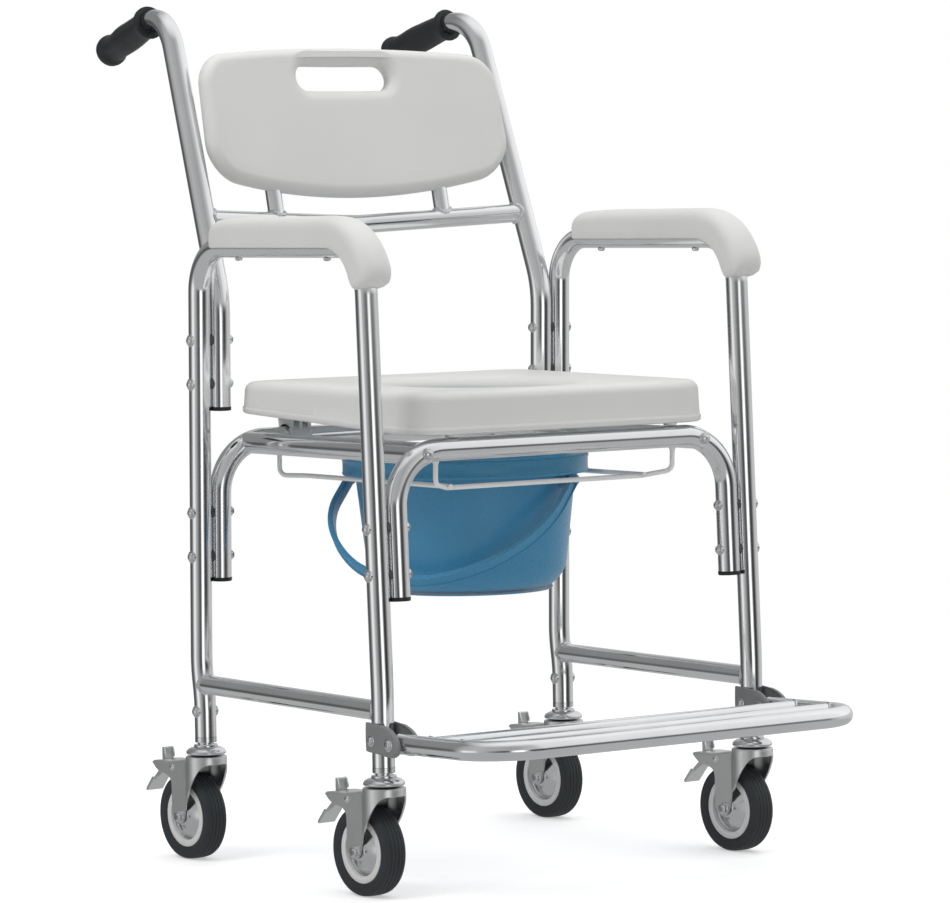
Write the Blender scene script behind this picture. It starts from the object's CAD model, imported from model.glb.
import math

import bpy
from mathutils import Matrix, Vector, noise


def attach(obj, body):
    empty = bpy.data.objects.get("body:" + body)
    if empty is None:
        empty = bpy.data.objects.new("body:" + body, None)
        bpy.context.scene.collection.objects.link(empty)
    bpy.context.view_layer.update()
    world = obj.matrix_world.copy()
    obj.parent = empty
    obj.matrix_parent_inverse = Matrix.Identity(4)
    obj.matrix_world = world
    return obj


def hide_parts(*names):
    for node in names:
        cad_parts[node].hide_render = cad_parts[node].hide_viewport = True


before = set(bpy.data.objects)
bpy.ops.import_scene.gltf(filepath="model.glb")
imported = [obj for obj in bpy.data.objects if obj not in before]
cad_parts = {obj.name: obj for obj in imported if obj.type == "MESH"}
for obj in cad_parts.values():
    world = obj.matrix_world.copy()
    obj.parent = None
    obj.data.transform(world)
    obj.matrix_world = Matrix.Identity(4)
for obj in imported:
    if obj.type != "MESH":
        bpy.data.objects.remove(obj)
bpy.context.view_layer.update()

# Lengths are in millimetres until a mesh is made; +Z is up, -Y is the chair's front.
MM = 0.001
SIDES = (-1, 1)
NAMED_SIDES = ((-1, "left"), (1, "right"))
PLACES = ("front_left", "front_right", "rear_left", "rear_right")

# The driving dimensions of the CAD model
TUBE_R = 12.5
RAIL_R = 11.0
LEG_X = 254.2
FRONT_Y, REAR_Y = -219.5, 151.5
LEG_END_Z, KINK_Z, FOOT_KINK_Z, FOOT_OFFSET = 144.0, 225.0, 186.0, 6.0
FRONT_SLOPE, REAR_SLOPE = 0.0384, 0.0281
RAIL_Z, SEAT_FRAME_Z, ARM_Z = 204.5, 484.5, 708.5
STUB_X, STUB_END_Z, HANDLE_END_Z = 227.5, 325.0, 522.0
BOLT_HEIGHTS = (402.8, 352.0, 601.0, 550.7)
STEM_BOLT_Z = 173.5
SIDE_TUBE_X, SIDE_TUBE_Z = 190.0, 481.0
HANDLE_Z, HANDLE_TOE, HANDLE_LEAN = 651.7, 4.9, 19.9
GRIP_CORNER = (121.2, 984.4 - HANDLE_Z)
GRIP_SLOPE, GRIP_START, GRIP_END = 15.4, 46.0, 165.0
CROSSBAR_Z, CROSSBAR_R, CROSSBAR_BOW = 739.5, 11.0, 30.0
POST_X, POST_R, BACK_LEAN, BACK_CURVE_R = 117.5, 9.5, 13.2, 1010.0
ARM_BEND_R, PAD_OVER, PAD_FRONT_Z, PAD_REAR = 54.0, 33.5, 662.0, 128.0
SEAT_W, SEAT_L, SEAT_CORNER_R = 414.0, 384.0, 42.0
SEAT_FRONT_Y = FRONT_Y - 2
SEAT_MID_Y = SEAT_FRONT_Y + SEAT_L / 2
SEAT_TOP_Z, SEAT_UNDER_Z = 547.5, 500.0
TOP_SLOPE, UNDER_SLOPE = math.tan(math.radians(0.7)), math.tan(math.radians(2.5))
OPENING_R, OPENING_HALF = 100.0, 25.0
CLIP_X, CLIP_W = 125.0, 28.0
BUCKET_Y, BUCKET_DEPTH, BODY_R, BOTTOM_R = -16.5, 156.0, 127.0, 108.0
RIM_R, RIM_Z = 142.2, 465.0
LUG_Z, LUG_R, BAIL_TURN, BAIL_SWING, BAIL_DROP = 437.0, 140.0, -62.0, 53.0, 180.0
BAIL_LEAN = 11.0  # the springy strap stands this far out from the bucket on its left side
WIRE_R, WIRE_X, WIRE_FLARE, WIRE_Z, WIRE_END_X = 2.8, 133.5, 150.0, 441.0, 163.0
CASTER_TURN, TRAIL, WHEEL_R, TYRE_W = 4.0, 29.0, 50.0, 27.0
CUP_Z, RACE_Z, SKIRT_R, BRAKE_Z = 113.0, 122.4, 24.0, 106.0
FORK_IN, FORK_T = TYRE_W / 2 + 2, 2.5
FORK_HALF = FORK_IN + FORK_T
FOOTREST_Y, FOOTREST_Z, FOOTREST_SLOPE, FOOTREST_REACH = FRONT_Y - 34, 172.0, 1.8, 171.0
FOOTREST_R, SLAT_R, FOOTREST_BEND = 11.0, 10.0, 62.0
SLATS_FROM_FRONT = (60.0, 120.0)


def front_leg_y(z):
    return FRONT_Y + (z - KINK_Z) * FRONT_SLOPE


def rear_leg_y(z):
    return REAR_Y + FOOT_OFFSET - (z - KINK_Z) * REAR_SLOPE


# ---- Geometry helpers ----


class Geo:
    """Vertices in millimetres, faces, and one UV per face corner."""

    def __init__(self):
        self.verts, self.faces, self.uvs = [], [], []

    def add(self, other, matrix=None):
        base = len(self.verts)
        self.verts += [matrix @ v if matrix else v.copy() for v in other.verts]
        self.faces += [tuple(base + i for i in f) for f in other.faces]
        self.uvs += other.uvs
        return self

    def face(self, corners, uvs=None):
        self.faces.append(tuple(corners))
        self.uvs.append(uvs or [(0.0, 0.0)] * len(corners))


def grid_faces(geo, rows, columns, wrap_rows=False, wrap_columns=True, length=None):
    """Quads between rows of columns vertices; the UV runs round in U and along in V, in metres."""
    for i in range(rows if wrap_rows else rows - 1):
        j = (i + 1) % rows
        v0 = length[i] if length else i / rows
        v1 = length[i + 1] if length else (i + 1) / rows
        for a in range(columns if wrap_columns else columns - 1):
            b = (a + 1) % columns
            u0, u1 = a / columns, (a + 1) / columns
            geo.face(
                (i * columns + a, i * columns + b, j * columns + b, j * columns + a),
                [(u0, v0), (u1, v0), (u1, v1), (u0, v1)],
            )


def path_frames(path, closed, reference):
    """A tangent and two cross directions at each point, carried along without twist."""
    frames = []
    count = len(path)
    normal = Vector(reference)
    for i in range(count):
        before = path[i - 1] if i or closed else path[0]
        after = path[(i + 1) % count] if i < count - 1 or closed else path[-1]
        tangent = (after - before).normalized()
        normal = normal - tangent * normal.dot(tangent)
        normal.normalize()
        frames.append((tangent, normal.copy(), tangent.cross(normal)))
    return frames


def sweep(path, section, closed=False, reference=(1, 0, 0), caps=True):
    """Sweeps a closed section along a path. section(i) gives (across, up) points, a list gives them all."""
    geo = Geo()
    frames = path_frames(path, closed, reference)
    length = [0.0]
    for i in range(1, len(path) + 1):
        length.append(length[-1] + (path[i % len(path)] - path[i - 1]).length * MM)
    sides = 0
    for i, (point, (_, across, up)) in enumerate(zip(path, frames)):
        outline = section(i) if callable(section) else section
        sides = len(outline)
        geo.verts += [point + across * a + up * b for a, b in outline]
    grid_faces(geo, len(path), sides, wrap_rows=closed, length=length)
    if caps and not closed:
        geo.face(range(sides - 1, -1, -1))
        geo.face(range((len(path) - 1) * sides, len(path) * sides))
    return geo


def ring(radius, sides=48):
    return [
        (radius * math.cos(2 * math.pi * k / sides), radius * math.sin(2 * math.pi * k / sides))
        for k in range(sides)
    ]


def tube(path, radius, sides=48, **options):
    return sweep(path, ring(radius, sides), **options)


def bent_path(points, radii, step=5.0):
    """The points of straights joined by arcs, with a point every few degrees of arc."""
    out = [Vector(points[0])]
    for i in range(1, len(points) - 1):
        corner = Vector(points[i])
        back = (Vector(points[i - 1]) - corner).normalized()
        on = (Vector(points[i + 1]) - corner).normalized()
        turn = math.pi - back.angle(on)
        if radii[i] <= 0 or turn < 1e-4:
            out.append(corner)
            continue
        start = corner + back * radii[i] * math.tan(turn / 2)
        centre = corner + (back + on).normalized() * radii[i] / math.cos(turn / 2)
        axis = back.cross(on).normalized()
        steps = max(2, round(math.degrees(turn) / step))
        for k in range(steps + 1):
            out.append(centre + Matrix.Rotation(-turn * k / steps, 3, axis) @ (start - centre))
    out.append(Vector(points[-1]))
    return out


def lathe(profile, sides=64):
    """Turns (radius, z) points round Z. A radius of 0 closes the end."""
    geo = Geo()
    for r, z in profile:
        geo.verts += [Vector((a, b, z)) for a, b in ring(max(r, 1e-3), sides)]
    grid_faces(geo, len(profile), sides)
    return geo


def rounded(points, radius, step=18.0):
    """A flat outline or profile with each inner corner rounded."""
    path = bent_path(
        [(x, y, 0) for x, y in points], [0] + [radius] * (len(points) - 2) + [0], step
    )
    return [(p.x, p.y) for p in path]


def rounded_loop(points, radii, step=12.0):
    """A closed flat outline with its corners rounded."""
    count = len(points)
    out = []
    for i in range(count):
        near = [(*points[(i + k) % count], 0) for k in (-1, 0, 1)]
        middle = [
            (Vector(near[0]) + Vector(near[1])) / 2,
            near[1],
            (Vector(near[1]) + Vector(near[2])) / 2,
        ]
        radius = radii[i] if isinstance(radii, (list, tuple)) else radii
        out += [(p.x, p.y) for p in bent_path(middle, [0, radius, 0], step)[1:]]
    return out


def prism(outline, low, high):
    """A flat outline in X and Y made solid between two heights."""
    geo = Geo()
    count = len(outline)
    geo.verts = [Vector((x, y, z)) for z in (low, high) for x, y in outline]
    grid_faces(geo, 2, count)
    geo.face(range(count - 1, -1, -1))
    geo.face(range(count, 2 * count))
    return geo


def turned(x=0, y=0, z=0, about=()):
    """A move to a place, after turns given as (degrees, axis) from the outside in."""
    matrix = Matrix.Translation((x, y, z))
    for degrees, axis in about:
        matrix = matrix @ Matrix.Rotation(math.radians(degrees), 4, axis)
    return matrix


ALONG_X = [(90, "Y")]
SIDE_PLANE = [(90, "Z"), (90, "X")]


def toward_x(x, y, z, side):
    return turned(x, y, z, [(side * 90, "Y")])


def side_plate(outline, low, high, radius=0):
    """A flat outline in Y and Z, with its corners rounded, made solid between two places along X."""
    corners = rounded_loop(outline, radius) if radius else outline
    return Geo().add(prism(corners, low, high), turned(about=SIDE_PLANE))


def cross_pin(x, y, z, half, radius, sides):
    """A pin along X."""
    return tube([Vector((x - half, y, z)), Vector((x + half, y, z))], radius, sides, reference=(0, 1, 0))


def both_faces(rows):
    """Rings on both faces of a wheel, from (radius, distance from the wheel's middle) points."""
    geo = Geo()
    for side in SIDES:
        geo.add(lathe([(r, side * x) for r, x in (rows if side < 0 else rows[::-1])], 96))
    return geo


# ---- Materials ----


def new_material(name):
    material = bpy.data.materials.new(name)
    material.use_nodes = True
    tree = material.node_tree
    return material, tree, tree.nodes["Principled BSDF"]


def feed(tree, slot, value):
    """Links a node's input to a socket, or sets it to a plain value."""
    if isinstance(value, bpy.types.NodeSocket):
        tree.links.new(value, slot)
    else:
        slot.default_value = value


def add_node(tree, kind, output, inputs=(), operation=None):
    """Adds a node, fills its inputs by name or number, and gives back one of its outputs."""
    node = tree.nodes.new("ShaderNode" + kind)
    if operation:
        node.operation = operation
    for key, value in dict(inputs).items():
        feed(tree, node.inputs[key], value)
    return node.outputs[output]


def noise_node(tree, scale, detail=4.0, stretch=None, source="Object"):
    place = add_node(tree, "TexCoord", source)
    if stretch:
        place = add_node(tree, "Mapping", "Vector", {"Vector": place, "Scale": stretch})
    return add_node(tree, "TexNoise", "Fac", {"Vector": place, "Scale": scale, "Detail": detail})


def spread(tree, value, low, high, start=0.3, end=0.7):
    """Maps a noise value onto a range."""
    limits = {"From Min": start, "From Max": end, "To Min": low, "To Max": high}
    return add_node(tree, "MapRange", "Result", {"Value": value, **limits})


def ramp(tree, value, stops, interpolation="LINEAR"):
    """Maps a value onto colours, given as (position, colour) stops."""
    result = add_node(tree, "ValToRGB", "Color", {"Fac": value})
    colours = result.node.color_ramp
    colours.interpolation = interpolation
    while len(colours.elements) < len(stops):
        colours.elements.new(0.5)
    for element, (position, colour) in zip(colours.elements, stops):
        element.position = position
        element.color = (*colour, 1)
    return result


def math_node(tree, operation, first, second):
    return add_node(tree, "Math", "Value", {0: first, 1: second}, operation)


def bump(tree, shader, value, strength, distance):
    inputs = {"Strength": strength, "Distance": distance, "Height": value}
    feed(tree, shader.inputs["Normal"], add_node(tree, "Bump", "Normal", inputs))


def polished_metal(name, dark, light, low_rough, high_rough, streaks=True):
    """Bright metal with fine lengthwise drawing marks and faint hazy patches."""
    material, tree, shader = new_material(name)
    haze = noise_node(tree, 9.0)
    if streaks:
        fine = noise_node(tree, 1.0, 6.0, (140.0, 5.0, 1.0), "UV")
    else:
        fine = noise_node(tree, 420.0, 3.0)
    hazy = spread(tree, haze, 0.0, high_rough - low_rough)
    drawn = spread(tree, fine, low_rough, low_rough + 0.05)
    shader.inputs["Metallic"].default_value = 1.0
    feed(tree, shader.inputs["Base Color"], ramp(tree, haze, [(0.3, dark), (0.7, light)]))
    feed(tree, shader.inputs["Roughness"], math_node(tree, "ADD", hazy, drawn))
    bump(tree, shader, fine, 0.06, 0.0002)
    return material


def moulded(name, dark, light, low_rough, high_rough, grain=900.0, depth=0.12):
    """Moulded plastic or rubber: a fine pebble grain, slow colour drift and uneven gloss."""
    material, tree, shader = new_material(name)
    drift = noise_node(tree, 6.0)
    pebble = noise_node(tree, grain, 2.0)
    feed(tree, shader.inputs["Base Color"], ramp(tree, drift, [(0.3, dark), (0.7, light)]))
    feed(tree, shader.inputs["Roughness"], spread(tree, pebble, low_rough, high_rough))
    shader.inputs["Specular IOR Level"].default_value = 0.45
    bump(tree, shader, pebble, depth, 0.0003)
    return material


TUBE_METAL = polished_metal("polished_aluminium", (0.80, 0.81, 0.82), (0.87, 0.88, 0.89), 0.07, 0.12)
ZINC = polished_metal("zinc_plate", (0.74, 0.75, 0.75), (0.84, 0.85, 0.85), 0.27, 0.36, False)
BRIGHT = polished_metal("bright_plate", (0.66, 0.67, 0.68), (0.76, 0.77, 0.78), 0.12, 0.20, False)
WELD = polished_metal("weld_bead", (0.62, 0.63, 0.64), (0.80, 0.81, 0.82), 0.16, 0.30, False)
SEAT_PLASTIC = moulded("seat_plastic", (0.695, 0.697, 0.682), (0.735, 0.737, 0.722), 0.38, 0.46)
BUCKET_BLUE = moulded("bucket_plastic", (0.056, 0.262, 0.455), (0.066, 0.295, 0.505), 0.27, 0.31, 300, 0.01)
RUBBER = moulded("grip_rubber", (0.011, 0.014, 0.015), (0.018, 0.021, 0.023), 0.40, 0.52, 1400, 0.25)
TYRE = moulded("tyre_rubber", (0.022, 0.026, 0.030), (0.034, 0.040, 0.045), 0.50, 0.62, 1100, 0.22)
BLACK = moulded("cap_plastic", (0.010, 0.010, 0.011), (0.018, 0.018, 0.019), 0.32, 0.42)
WIRE_WHITE = moulded("wire_coating", (0.84, 0.84, 0.83), (0.90, 0.90, 0.89), 0.30, 0.38, 700, 0.05)
BRACKET_GREY = moulded("bracket_paint", (0.175, 0.180, 0.182), (0.215, 0.220, 0.222), 0.36, 0.46, 1300, 0.22)
RING_GREY = moulded("wheel_plastic", (0.70, 0.70, 0.69), (0.76, 0.76, 0.75), 0.36, 0.46)
SPACER_GREY = moulded("spacer_plastic", (0.060, 0.062, 0.065), (0.090, 0.092, 0.095), 0.40, 0.50)


# ---- Pieces ----


def piece(name, geo, material, body, replaces=(), place=None, sharp=38.0, bevel=0.0):
    mesh = bpy.data.meshes.new(name)
    mesh.from_pydata([tuple(v * MM) for v in geo.verts], [], geo.faces)
    layer = mesh.uv_layers.new(name="along")
    layer.data.foreach_set("uv", [c for corners in geo.uvs for uv in corners for c in uv])
    mesh.validate(clean_customdata=False)
    mesh.materials.append(material)
    mesh.shade_smooth()
    mesh.set_sharp_from_angle(angle=math.radians(sharp))
    obj = bpy.data.objects.new(name, mesh)
    bpy.context.scene.collection.objects.link(obj)
    if place:
        location = place.to_translation() * MM
        obj.matrix_world = Matrix.Translation(location) @ place.to_3x3().to_4x4()
    if bevel:
        modifier = obj.modifiers.new("edge", "BEVEL")
        modifier.width = bevel * MM
        modifier.segments = 2
        modifier.limit_method = "ANGLE"
        modifier.angle_limit = math.radians(40)
        modifier.harden_normals = True
    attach(obj, body)
    if replaces:
        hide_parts(*replaces)
    return obj


def frame_piece(name, geo, replaced):
    piece(name, geo, TUBE_METAL, "chair_frame", [replaced])


def weld(start, direction, main_point, main_axis, small_r, main_r, bead=2.1):
    """A rippled weld bead where a small tube meets the side of a larger one."""
    direction = Vector(direction).normalized()
    main_axis = Vector(main_axis).normalized()
    across = main_axis.cross(direction).normalized()
    up = direction.cross(across)
    path = []
    count = 72
    for k in range(count):
        angle = 2 * math.pi * k / count
        point = Vector(start) + across * small_r * math.cos(angle) + up * small_r * math.sin(angle)
        # Move along the small tube until the point is main_r from the main tube's axis
        gap = point - Vector(main_point)
        gap -= main_axis * gap.dot(main_axis)
        run = direction - main_axis * direction.dot(main_axis)
        a, b, c = run.dot(run), 2 * gap.dot(run), gap.dot(gap) - main_r**2
        path.append(point + direction * (-b - math.sqrt(max(b * b - 4 * a * c, 0))) / (2 * a))
    ripples = max(8, round(2 * math.pi * small_r / 3.2))

    def section(i):
        wave = 1 + 0.10 * math.sin(2 * math.pi * ripples * i / count)
        return ring(bead * wave * (1 + 0.15 * noise.noise(path[i] * 0.15)), 14)

    return sweep(path, section, closed=True, reference=direction)


# Main frame


def side_path(x):
    flat = [
        (FRONT_Y, LEG_END_Z),
        (FRONT_Y, KINK_Z),
        (front_leg_y(ARM_Z), ARM_Z),
        (rear_leg_y(ARM_Z), ARM_Z),
        (REAR_Y + FOOT_OFFSET, KINK_Z),
        (REAR_Y, FOOT_KINK_Z),
        (REAR_Y, LEG_END_Z),
    ]
    return bent_path([(x, y, z) for y, z in flat], [0, 300, ARM_BEND_R, ARM_BEND_R, 150, 150, 0], 4)


def hoop_path(at_y, slope):
    """A seat hoop's line; its plane leans with the legs."""

    def point(x, z):
        return (x, at_y + (z - SEAT_FRAME_Z) * slope, z)

    corners = [(-STUB_X, STUB_END_Z), (-STUB_X, SEAT_FRAME_Z), (STUB_X, SEAT_FRAME_Z), (STUB_X, STUB_END_Z)]
    return bent_path([point(x, z) for x, z in corners], [0, 60, 60, 0], 4)


def handle_plane(side):
    return turned(
        side * STUB_X,
        rear_leg_y(HANDLE_Z),
        HANDLE_Z,
        [(side * HANDLE_TOE, "Z"), (90, "Z"), (90, "X")],
    )


def handle_path(side):
    rad = math.radians(GRIP_SLOPE)
    end = (
        GRIP_CORNER[0] + (GRIP_END - 5) * math.cos(rad),
        GRIP_CORNER[1] - (GRIP_END - 5) * math.sin(rad),
    )
    low = HANDLE_END_Z - HANDLE_Z
    flat = [(-low * REAR_SLOPE, low), (0, 0), GRIP_CORNER, end]
    plane = handle_plane(side)
    return bent_path([plane @ Vector((a, b, 0)) for a, b in flat], [0, 130, 52, 0], 4)


CROSSBAR_H = (CROSSBAR_Z - HANDLE_Z) * math.tan(math.radians(HANDLE_LEAN))
CROSSBAR_Y = rear_leg_y(HANDLE_Z) + CROSSBAR_H * math.cos(math.radians(HANDLE_TOE))
CROSSBAR_X = STUB_X - CROSSBAR_H * math.sin(math.radians(HANDLE_TOE))
CROSSBAR_PLANE = turned(0, CROSSBAR_Y, CROSSBAR_Z, [(-HANDLE_LEAN, "X")])
POST_BOW = CROSSBAR_BOW * (1 - POST_X / CROSSBAR_X)
BACK_PLANE = turned(
    0,
    CROSSBAR_Y + POST_BOW * math.cos(math.radians(HANDLE_LEAN)),
    CROSSBAR_Z - POST_BOW * math.sin(math.radians(HANDLE_LEAN)),
    [(-BACK_LEAN, "X")],
)

for side, name in NAMED_SIDES:
    x = side * LEG_X
    frame_piece(f"{name}_side_tube", tube(side_path(x), TUBE_R), f"{name}_side_frame")
    rail = [Vector((x, FRONT_Y, RAIL_Z)), Vector((x, REAR_Y + FOOT_OFFSET / 2, RAIL_Z))]
    frame_piece(f"{name}_low_rail", tube(rail, RAIL_R), f"{name}_lower_rail")
    seat_tube = [
        Vector((side * SIDE_TUBE_X, front_leg_y(SIDE_TUBE_Z) + 2, SIDE_TUBE_Z)),
        Vector((side * SIDE_TUBE_X, rear_leg_y(SIDE_TUBE_Z) - 2, SIDE_TUBE_Z)),
    ]
    frame_piece(f"{name}_seat_side_tube", tube(seat_tube, TUBE_R), f"{name}_seat_tube")
    frame_piece(f"{name}_push_tube", tube(handle_path(side), TUBE_R), f"{name}_handle_tube")
    beads = Geo()
    for start_y, direction, leg_y in (
        (FRONT_Y + 40, (0, -1, 0), FRONT_Y),
        (REAR_Y - 40, (0, 1, 0), REAR_Y + FOOT_OFFSET / 2),
    ):
        beads.add(weld((x, start_y, RAIL_Z), direction, (x, leg_y, RAIL_Z), (0, 0, 1), RAIL_R, TUBE_R))
    corner = Vector((side * CROSSBAR_X, CROSSBAR_Y, CROSSBAR_Z))
    inner = CROSSBAR_PLANE @ Vector((0, CROSSBAR_BOW, 0))
    handle_axis = handle_plane(side).to_3x3() @ Vector((*GRIP_CORNER, 0))
    toward = (corner - inner).normalized()
    beads.add(weld(corner - toward * 60, toward, corner, handle_axis, CROSSBAR_R, TUBE_R, 2.5))
    piece(f"{name}_weld_beads", beads, WELD, "chair_frame")

for name, y, slope in (
    ("front", front_leg_y(SEAT_FRAME_Z), FRONT_SLOPE),
    ("rear", rear_leg_y(SEAT_FRAME_Z), -REAR_SLOPE),
):
    frame_piece(f"{name}_hoop", tube(hoop_path(y, slope), TUBE_R, reference=(0, 1, 0)), f"{name}_seat_hoop")

bar_corners = ((-CROSSBAR_X, 0, 0), (0, CROSSBAR_BOW, 0), (CROSSBAR_X, 0, 0))
crossbar = bent_path([CROSSBAR_PLANE @ Vector(p) for p in bar_corners], [0, 150, 0], 1.5)
frame_piece("crossbar", tube(crossbar, CROSSBAR_R, reference=(0, 0, 1)), "back_crossbar")

posts, post_beads = Geo(), Geo()
for side in SIDES:
    foot = BACK_PLANE @ Vector((side * POST_X, 0, 0))
    top = BACK_PLANE @ Vector((side * POST_X, 0, 70))
    posts.add(tube([foot, top], POST_R, 40))
    along = CROSSBAR_PLANE.to_3x3() @ Vector((-side * CROSSBAR_X, CROSSBAR_BOW, 0))
    post_beads.add(weld(foot + (top - foot) * 0.5, foot - top, foot, along, POST_R, CROSSBAR_R, 2.6))
frame_piece("back_post_tubes", posts, "back_posts")
piece("back_post_welds", post_beads, WELD, "chair_frame")

# Fasteners, drawn along Z with the tube's surface at z = TUBE_R


def bolt_head_geo():
    """A curved washer, a thin flat washer and a domed head with a hexagon socket."""
    geo = Geo()
    rows = [(6.9, TUBE_R - 2.2), (6.9, TUBE_R + 0.7), (6.4, TUBE_R + 1.1), (5.2, TUBE_R + 1.2)]
    geo.add(lathe(rows, 40))
    dome = [(5.1, TUBE_R + 1.1), (5.1, TUBE_R + 1.7)]
    dome += [(5.0 * math.cos(a), TUBE_R + 1.7 + 2.3 * math.sin(a)) for a in (0.2, 0.45, 0.7, 0.95, 1.15)]
    geo.add(lathe(dome + [(1.75, TUBE_R + 3.95), (1.6, TUBE_R + 2.4), (0, TUBE_R + 2.3)], 40))
    return geo


def nut_geo():
    """A washer and a domed hexagon nut."""
    geo = lathe([(6.2, TUBE_R - 2.2), (6.2, TUBE_R + 0.8), (5.8, TUBE_R + 1.1), (4, TUBE_R + 1.2)], 40)
    geo.add(lathe([(5.3, TUBE_R + 1.0), (5.3, TUBE_R + 3.0), (4.6, TUBE_R + 3.4)], 6))
    dome = [(4.2 * math.cos(a), TUBE_R + 3.1 + 1.9 * math.sin(a)) for a in (0, 0.3, 0.6, 0.9, 1.2, 1.57)]
    return geo.add(lathe(dome, 32))


heads, nuts, stem_heads = Geo(), Geo(), Geo()
bolt_points = [(leg(z), z) for leg in (front_leg_y, rear_leg_y) for z in BOLT_HEIGHTS[:2]]
bolt_points += [(rear_leg_y(z), z) for z in BOLT_HEIGHTS[2:]]
for side in SIDES:
    for y, z in bolt_points:
        heads.add(bolt_head_geo(), toward_x(side * LEG_X, y, z, side))
        nuts.add(nut_geo(), toward_x(side * STUB_X, y, z, -side))
    for turn in (side, -side):
        stem_heads.add(bolt_head_geo(), toward_x(side * LEG_X, REAR_Y, STEM_BOLT_Z, turn))
piece("frame_bolt_heads", heads, BRIGHT, "chair_frame", ["frame_bolts"])
piece("frame_cap_nuts", nuts, BRIGHT, "chair_frame", ["frame_nuts"])
piece("stem_bolt_heads", stem_heads, BRIGHT, "chair_frame", ["stem_bolts"])

corner_heads = Geo()
for side in SIDES:
    for y, turn in ((front_leg_y(SIDE_TUBE_Z), 90), (rear_leg_y(SIDE_TUBE_Z), -90)):
        corner_heads.add(bolt_head_geo(), turned(side * SIDE_TUBE_X, y, SIDE_TUBE_Z, [(turn, "X")]))
piece("corner_bolt_heads", corner_heads, BRIGHT, "chair_frame", ["corner_bolts"])

caps = Geo()
cap_profile = [(12.4, 2.2), (12.9, 2), (13.0, 1.4), (13.0, -1.4), (12.2, -2.4), (4, -2.5), (0, -2.0)]
for side in SIDES:
    for at_y, slope in (
        (front_leg_y(STUB_END_Z), FRONT_SLOPE),
        (rear_leg_y(STUB_END_Z), -REAR_SLOPE),
    ):
        lean = -math.degrees(math.atan(slope))
        caps.add(lathe(cap_profile, 48), turned(side * STUB_X, at_y, STUB_END_Z, [(lean, "X")]))
    lean = math.degrees(math.atan(REAR_SLOPE))
    end = handle_path(side)[0]
    caps.add(lathe(cap_profile, 48), turned(*end, [(side * HANDLE_TOE, "Z"), (lean, "X")]))
piece("end_caps", caps, BLACK, "chair_frame", ["tube_end_caps"])

# Grips


def grip_profile():
    """Flange, waisted body with a soft swell, and a rounded end."""
    rows = [(12.7, GRIP_START + 1), (15, GRIP_START), (18.6, GRIP_START + 0.4), (19.6, GRIP_START + 2)]
    rows += [(19.6, GRIP_START + 5), (18.8, GRIP_START + 7.5), (17.2, GRIP_START + 9)]
    rows.append((16.4, GRIP_START + 12))
    length = GRIP_END - GRIP_START
    for k in range(1, 12):
        t = k / 12
        swell = 1.5 * math.sin(math.pi * t) ** 2
        rows.append((15.9 + swell, GRIP_START + 12 + (length - 28) * t))
    rows += [(16.6, GRIP_END - 15), (18.2, GRIP_END - 12.5), (19.0, GRIP_END - 10), (19.1, GRIP_END - 6)]
    rows += [(18.4, GRIP_END - 2.6), (16.2, GRIP_END - 0.7), (12, GRIP_END), (0, GRIP_END)]
    return rows


def grip_geo():
    """Two soft finger waves under the body and two moulded ribs along its top."""
    geo = lathe(grip_profile(), 72)
    length = GRIP_END - GRIP_START
    for v in geo.verts:
        t = (v.z - GRIP_START - 10) / (length - 24)
        r = math.hypot(v.x, v.y)
        if not (0 < t < 1) or r < 10:
            continue
        under = max(0.0, v.x / r)
        rib = math.exp(-(((math.degrees(math.atan2(v.y, -v.x)) % 60) - 30) / 5) ** 2)
        scale = 1 + 0.045 * under * math.sin(4 * math.pi * t) * math.sin(math.pi * t)
        scale += 0.035 * rib * min(1, 8 * t, 8 * (1 - t))
        v.x, v.y = v.x * scale, v.y * scale
    return geo


for side, name in NAMED_SIDES:
    place = handle_plane(side) @ turned(*GRIP_CORNER, 0, [(-GRIP_SLOPE, "Z"), (90, "Y")])
    grip = Geo().add(grip_geo(), place)
    piece(f"{name}_hand_grip", grip, RUBBER, "chair_frame", [f"{name}_grip"])

# Arm pads


PAD_MID_Y = (front_leg_y(ARM_Z) + rear_leg_y(ARM_Z)) / 2 - 6


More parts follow.
